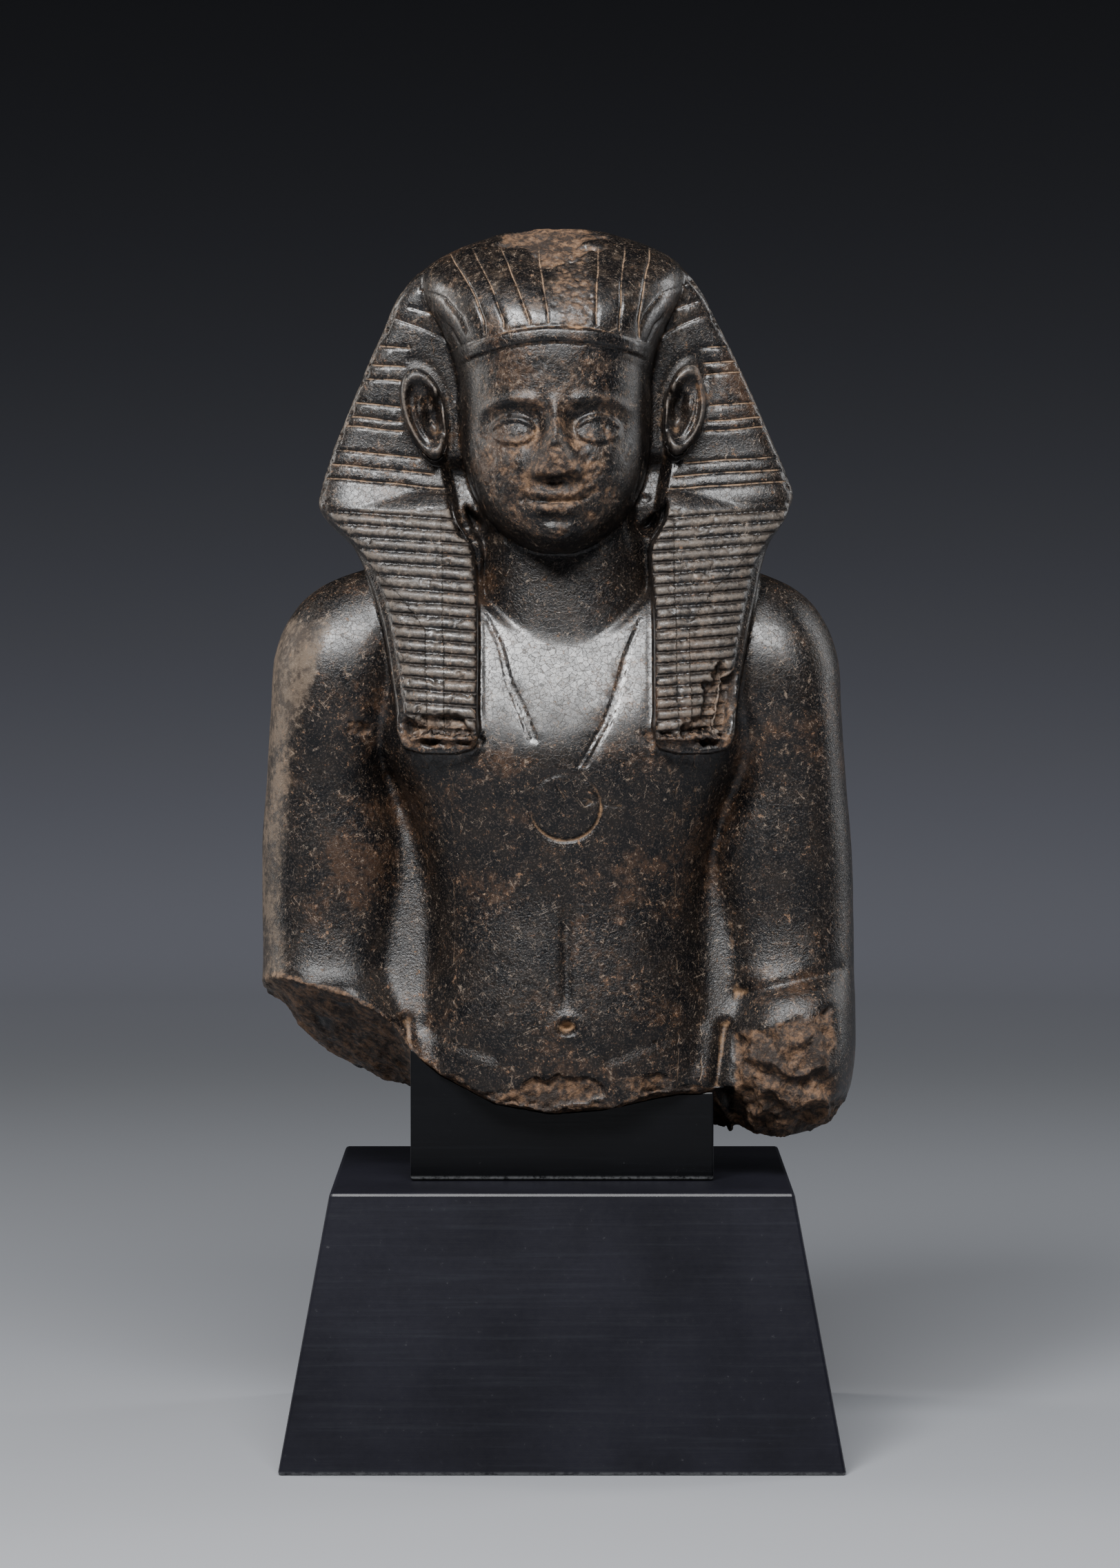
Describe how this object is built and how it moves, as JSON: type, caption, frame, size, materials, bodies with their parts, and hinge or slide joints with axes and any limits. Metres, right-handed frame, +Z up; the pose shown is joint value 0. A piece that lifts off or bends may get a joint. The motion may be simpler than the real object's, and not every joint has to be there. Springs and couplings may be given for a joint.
{
  "type": "stone bust on display stand",
  "caption": "Broken hardstone bust of a king in a ribbed headcloth, seated in a contoured black cradle block on a tapered black base.",
  "frame": {"origin": "middle of the base block's underside, on the surface it stands on", "axes": "+Z up; the figure faces -Y, so +X is on its own left"},
  "size_m": [0.1492, 0.1178, 0.3035],
  "materials": {
    "dark_hardstone": "worn polish over near-black brown grainy hardstone, tan deposits in the cuts, matt rough breaks",
    "cradle_satin_black": "satin blue-black paint",
    "base_satin_black": "satin blue-black paint with faint rubbing lines"
  },
  "bodies": {
    "root": {"stone_bust": "dark_hardstone", "cradle_block": "cradle_satin_black", "base_block": "base_satin_black"}
  },
  "joints": []
}
